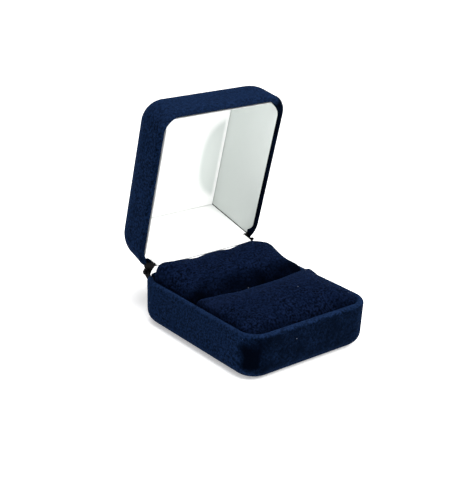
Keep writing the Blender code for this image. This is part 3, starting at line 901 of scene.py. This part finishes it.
class RINGBOX_OT_cushions(bpy.types.Operator):
    """The two velour ring cushions that grip a ring between them"""

    bl_idname = "ringbox.cushions"
    bl_label = "Ring Cushions"

    def execute(self, context):
        s = context.scene.ring_box_sizes
        colours = context.scene.ring_box_colours
        tones = (tuple(colours.cushion), CUSHION_SHEEN, tuple(colours.lint))
        material = finish("velour_cushion", velour_material, *tones)
        for side, spots, crown in (("rear", REAR_SPOTS, REAR_CROWN), ("front", FRONT_SPOTS, FRONT_CROWN)):
            obj = copy_of(f"{side}_pad_foam", f"{side}_cushion")
            stuff(obj, s, s.pad_foot + HELD_FOOT)
            skin = obj.modifiers.new("skin", "DISPLACE")
            skin.strength = s.pad_skin - s.pad_swell
            skin.mid_level = 0
            finer = obj.modifiers.new("finer", "SUBSURF")
            finer.levels = finer.render_levels = 1
            apply_modifiers(obj)
            square_up(obj)
            _, cover_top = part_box(f"{side}_pad_cover")
            stand_to(obj, s.pad_foot, cover_top.z + crown)
            widen(obj, s.width / 2 - s.rim_wall - END_GAP)
            square_plan(obj)
            push(obj, spots)
            soften = obj.modifiers.new("soften", "SMOOTH")
            soften.factor = SOFTENING
            soften.iterations = SOFTENING_TURNS
            apply_modifiers(obj)
            keep_inside(obj, s)
            into_edit(obj)
            foot = (0, 0, s.pad_foot)
            bpy.ops.mesh.bisect(plane_co=foot, plane_no=(0, 0, 1), use_fill=True, clear_inner=True)
            out_of_edit()
            raise_nap(obj, s, CUSHION_NAP, above=s.pad_foot + CUSHION_NAP_START)

            # Painted light: a lighter band along the front cushion's crest, beside the slit
            def lit_crest(co):
                return CREST_LIGHT * near(co.y, 0, CREST_LIGHT_BAND) if side == "front" else 0.0

            def painted_shade_at(co):
                # Painted shade on the front face of the front cushion
                if side == "front":
                    return CUSHION_FRONT_SHADE * near(-co.y, s.depth / 2, CUSHION_FRONT_SHADE_BAND)
                # Painted shade on the rear cushion's slope down into the slit between the cushions
                return SLIT_SHADE * (1 - past(co.y, 0, SLIT_SHADE_END))

            paint(obj, "wear", lit_crest)
            paint(obj, "lay", painted_shade_at)
            smooth(obj)
            nodes = (f"{side}_pad_cover", f"{side}_pad_foam")
            finish_piece(obj, "base", "cushion_velour", material, *nodes)
            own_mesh(obj)
        return {"FINISHED"}


# Lining of the lid


class RINGBOX_OT_flaps(bpy.types.Operator):
    """The four satin-faced flaps that slope from the ceiling of the lid to its rim"""

    bl_idname = "ringbox.flaps"
    bl_label = "Lining Flaps"

    def execute(self, context):
        s = context.scene.ring_box_sizes
        crease = s.base_height + s.parting + s.lid_height - CREASE_DEPTH
        for name, (at_rim, at_crease) in FLAP_SHADES.items():
            obj = copy_of(f"liner_{name}_flap", f"{name}_flap")
            into_edit(obj)
            bpy.ops.mesh.dissolve_limited(angle_limit=FLAP_FLAT_ANGLE)
            out_of_edit()
            edge = obj.modifiers.new("edge", "BEVEL")
            edge.width = FLAP_EDGE
            edge.segments = FLAP_EDGE_STEPS
            edge.limit_method = "ANGLE"
            edge.angle_limit = FLAP_EDGE_ANGLE
            apply_modifiers(obj)

            # Painted grey-green shade, deeper towards the crease with the ceiling
            def painted_satin_shade(co):
                share = rise(shut_place(co).z, crease - CREASE_SHADE, crease)
                return at_rim + (at_crease - at_rim) * share

            paint(obj, "fold", painted_satin_shade)
            smooth(obj)
            finish_piece(obj, "lid", "white_satin", lining_satin(context), f"liner_{name}_flap")
        return {"FINISHED"}


class RINGBOX_OT_ceiling(bpy.types.Operator):
    """The ceiling of the lid: satin stretched over wadding, with a rolled edge"""

    bl_idname = "ringbox.ceiling"
    bl_label = "Lid Ceiling"

    def execute(self, context):
        s = context.scene.ring_box_sizes
        roll = s.ceiling_roll
        satin = self.stretched_sheet("ceiling_face", s, CEILING_HALF_X - roll, CEILING_HALF_Y - roll)
        wadding = satin.copy()
        wadding.data = satin.data.copy()
        wadding.name = wadding.data.name = "ceiling_padding"
        bpy.context.scene.collection.objects.link(wadding)
        self.roll_edge(satin, s, roll)
        self.fill_behind(wadding, s)

        # Painted grey-green shade in the dish beside the right-hand crease, left off at the crease's edge
        def painted_satin_shade(co):
            across = co.x * (1 - (co.y / CEILING_HALF_Y) ** 2)
            shade = DISH_SHADE * rise(across, DISH_START, DISH_FULL)
            return shade * (1 - rise(co.x, DISH_FADE, DISH_END))

        paint(satin, "fold", painted_satin_shade)
        for obj in (satin, wadding):
            smooth(obj)
            turn_open(obj)
        finish_piece(satin, "lid", "white_satin", lining_satin(context), "ceiling_satin")
        colours = context.scene.ring_box_colours
        fibre = finish("bonded_wadding", wadding_material, tuple(colours.satin))
        finish_piece(wadding, "lid", "foam", fibre, "ceiling_wadding")
        return {"FINISHED"}

    def stretched_sheet(self, name, s, half_x, half_y):
        """A sheet held along its edges that is drawn into the lid in the middle, by simulation."""
        deselect()
        bpy.ops.mesh.primitive_grid_add(
            x_subdivisions=CEILING_CUTS_X, y_subdivisions=CEILING_CUTS_Y, size=1, location=(0, 0, 0)
        )
        obj = bpy.context.object
        obj.name = obj.data.name = name
        end_x, end_y = half_x * SIM_SCALE, half_y * SIM_SCALE
        resize(obj, (2 * end_x, 2 * end_y, 1))

        def on_edge(co):
            return abs(co.x) > end_x * ON_EDGE or abs(co.y) > end_y * ON_EDGE

        inflate(obj, [v.index for v in obj.data.vertices if on_edge(v.co)])
        depth = max(v.co.z for v in obj.data.vertices)
        if depth <= 0:
            raise RuntimeError("the ceiling did not sink")
        into_edit(obj)
        value = (1 / SIM_SCALE, 1 / SIM_SCALE, s.ceiling_sink / depth)
        bpy.ops.transform.resize(value=value, center_override=(0, 0, 0))
        bpy.ops.transform.translate(value=(0, 0, s.ceiling_edge))
        bpy.ops.mesh.flip_normals()
        out_of_edit()
        return obj

    def roll_edge(self, obj, s, roll):
        """Turns the sheet's edge up round the wadding, and gives it its thickness."""
        into_edit(obj)
        bpy.ops.mesh.select_mode(type="EDGE")
        pick(obj, "edges", lambda e: e.is_boundary)
        middle = (0, 0, s.ceiling_edge)
        width = max(v.co.x for v in obj.data.vertices)
        depth = max(v.co.y for v in obj.data.vertices)
        turned = 0.0
        risen = 0.0
        for step in range(1, ROLL_STEPS + 1):
            angle = math.pi / 2 * step / ROLL_STEPS
            out, up = roll * math.sin(angle), roll * (1 - math.cos(angle))
            bpy.ops.mesh.extrude_edges_move(TRANSFORM_OT_translate={"value": (0, 0, up - risen)})
            value = ((width + out) / (width + turned), (depth + out) / (depth + turned), 1)
            bpy.ops.transform.resize(value=value, center_override=middle)
            turned, risen = out, up
        bpy.ops.mesh.extrude_edges_move(TRANSFORM_OT_translate={"value": (0, 0, SKIRT)})
        value = (1 - SKIRT_DRAFT / (width + turned), 1 - SKIRT_DRAFT / (depth + turned), 1)
        bpy.ops.transform.resize(value=value, center_override=middle)
        out_of_edit()
        wall = obj.modifiers.new("wall", "SOLIDIFY")
        wall.thickness = s.satin
        wall.offset = -1
        apply_modifiers(obj)

    def fill_behind(self, obj, s):
        """The wadding: its face follows the satin, and its back is flat against the card."""
        into_edit(obj)
        bpy.ops.transform.translate(value=(0, 0, s.satin + WADDING_GAP))
        bpy.ops.transform.resize(value=(WADDING_SHARE, WADDING_SHARE, 1), center_override=(0, 0, 0))
        back = s.ceiling_edge + s.ceiling_sink + s.satin + WADDING_GAP + s.wadding
        bpy.ops.mesh.extrude_region_move(TRANSFORM_OT_translate={"value": (0, 0, WADDING_LIFT)})
        bpy.ops.transform.resize(value=(1, 1, 0), center_override=(0, 0, back))
        bpy.ops.mesh.select_all(action="SELECT")
        bpy.ops.mesh.normals_make_consistent(inside=False)
        out_of_edit()


# Finishes on the CAD pieces that show as they are


def dress(material, *nodes):
    """Puts a finish on CAD nodes, in place of the frame's own."""
    for node in nodes:
        mesh = frame["nodes"][node].data
        mesh.materials.clear()
        mesh.materials.append(material)


class RINGBOX_OT_metalwork(bpy.types.Operator):
    """Finishes of the steel shells, hinge pins, snap spring and rivets"""

    bl_idname = "ringbox.metalwork"
    bl_label = "Metalwork"

    def execute(self, context):
        colours = context.scene.ring_box_colours
        black = finish("stoved_black", painted_steel_material, tuple(colours.black_steel))
        bright = finish("spring_strip", brushed_steel_material, tuple(colours.spring_steel))
        dress(black, "base_shell", "lid_shell", "hinge_pin_left", "hinge_pin_right")
        dress(bright, "snap_spring", "spring_rivet_left", "spring_rivet_right")
        return {"FINISHED"}


class RINGBOX_OT_boards(bpy.types.Operator):
    """Finishes of the board under the cushions and the card over the ceiling"""

    bl_idname = "ringbox.boards"
    bl_label = "Boards"

    def execute(self, context):
        colours = context.scene.ring_box_colours
        dress(finish("grey_board", card_material, tuple(colours.card)), "pad_board", "ceiling_card")
        return {"FINISHED"}


# Stage


def soft_light(name, place, target, size, power, tone):
    """A round area light that faces its target."""
    data = bpy.data.lights.new(name, "AREA")
    data.shape = "DISK"
    data.size = size
    data.energy = power
    data.color = tone
    light = bpy.data.objects.new(name, data)
    bpy.context.scene.collection.objects.link(light)
    light.location = place
    light.rotation_mode = "QUATERNION"
    light.rotation_quaternion = (Vector(place) - Vector(target)).to_track_quat("Z", "Y")


class RINGBOX_OT_stage(bpy.types.Operator):
    """Pale floor, soft lights and camera"""

    bl_idname = "ringbox.stage"
    bl_label = "Stage"

    def execute(self, context):
        self.floor()
        self.lights(context)
        self.camera(context)
        return {"FINISHED"}

    def floor(self):
        deselect()
        just_under = (0, 0, -0.00005)
        bpy.ops.mesh.primitive_grid_add(x_subdivisions=4, y_subdivisions=4, size=8, location=just_under)
        floor = bpy.context.object
        floor.name = "floor"
        n = Nodes("pale_floor")
        grain = n.noise(60, 2.0)
        n.set(Base_Color=n.mix(grain, (0.90, 0.90, 0.90, 1.0), (0.92, 0.92, 0.92, 1.0)))
        n.set(Roughness=n.ramp(grain, 0.3, 0.7, 0.85, 0.95), Specular_IOR_Level=0.1)
        n.set(Emission_Color=(1.0, 1.0, 1.0, 1.0), Emission_Strength=0.35)
        floor.data.materials.append(n.material)

    def lights(self, context):
        world = bpy.data.worlds.new("studio")
        world.use_nodes = True
        background = world.node_tree.nodes["Background"]
        background.inputs["Color"].default_value = (1.0, 1.0, 1.0, 1.0)
        background.inputs["Strength"].default_value = 0.66
        context.scene.world = world
        context.scene.view_settings.view_transform = "Standard"
        middle = (0, 0.005, 0.03)
        soft_light("key", (0.40, -0.58, 0.68), middle, 0.45, 7.8, (1.0, 0.99, 0.97))
        soft_light("top", (-0.15, -0.15, 0.85), middle, 0.50, 5.5, (0.98, 0.99, 1.0))

    def camera(self, context):
        azimuth, elevation, roll = math.radians(-39.65), math.radians(21.35), math.radians(2.38)
        lens, distance, across, lift = 84.70, 0.34004, 0.00908, -0.00967
        aim = Vector((0, 0, 0.02))
        back = Vector(
            (
                math.sin(azimuth) * math.cos(elevation),
                -math.cos(azimuth) * math.cos(elevation),
                math.sin(elevation),
            )
        )
        right = Vector((math.cos(azimuth), math.sin(azimuth), 0))
        up = back.cross(right)
        right, up = right * math.cos(roll) + up * math.sin(roll), up * math.cos(roll) - right * math.sin(roll)
        data = bpy.data.cameras.new("camera")
        data.sensor_fit = "AUTO"
        data.sensor_width = 36
        data.lens = lens
        data.clip_start = 0.01
        camera = bpy.data.objects.new("camera", data)
        context.scene.collection.objects.link(camera)
        axes = Matrix((right, up, back)).transposed().to_4x4()
        place = aim - right * across - up * lift + back * distance
        camera.matrix_world = Matrix.Translation(place) @ axes
        context.scene.camera = camera


OPERATORS = (
    RINGBOX_OT_base_cover,
    RINGBOX_OT_lid_cover,
    RINGBOX_OT_cushions,
    RINGBOX_OT_flaps,
    RINGBOX_OT_ceiling,
    RINGBOX_OT_metalwork,
    RINGBOX_OT_boards,
    RINGBOX_OT_stage,
)


class RINGBOX_PT_panel(bpy.types.Panel):
    """Sizes, colours and pieces of the ring box"""

    bl_idname = "RINGBOX_PT_panel"
    bl_label = "Ring Box"
    bl_space_type = "VIEW_3D"
    bl_region_type = "UI"
    bl_category = "Ring Box"

    def draw(self, context):
        layout = self.layout
        for group in (context.scene.ring_box_sizes, context.scene.ring_box_colours):
            box = layout.box()
            for name in type(group).__annotations__:
                box.prop(group, name)
        for operator in OPERATORS:
            layout.operator(operator.bl_idname)


CLASSES = (RingBoxSizes, RingBoxColours, *OPERATORS, RINGBOX_PT_panel)


def register():
    for cls in CLASSES:
        bpy.utils.register_class(cls)
    bpy.types.Scene.ring_box_sizes = PointerProperty(type=RingBoxSizes)
    bpy.types.Scene.ring_box_colours = PointerProperty(type=RingBoxColours)


def unregister():
    del bpy.types.Scene.ring_box_colours
    del bpy.types.Scene.ring_box_sizes
    for cls in reversed(CLASSES):
        bpy.utils.unregister_class(cls)


def main():
    register()
    bpy.ops.ringbox.base_cover()
    bpy.ops.ringbox.lid_cover()
    bpy.ops.ringbox.cushions()
    bpy.ops.ringbox.flaps()
    bpy.ops.ringbox.ceiling()
    bpy.ops.ringbox.metalwork()
    bpy.ops.ringbox.boards()
    bpy.ops.ringbox.stage()


if __name__ == "__main__":
    main()
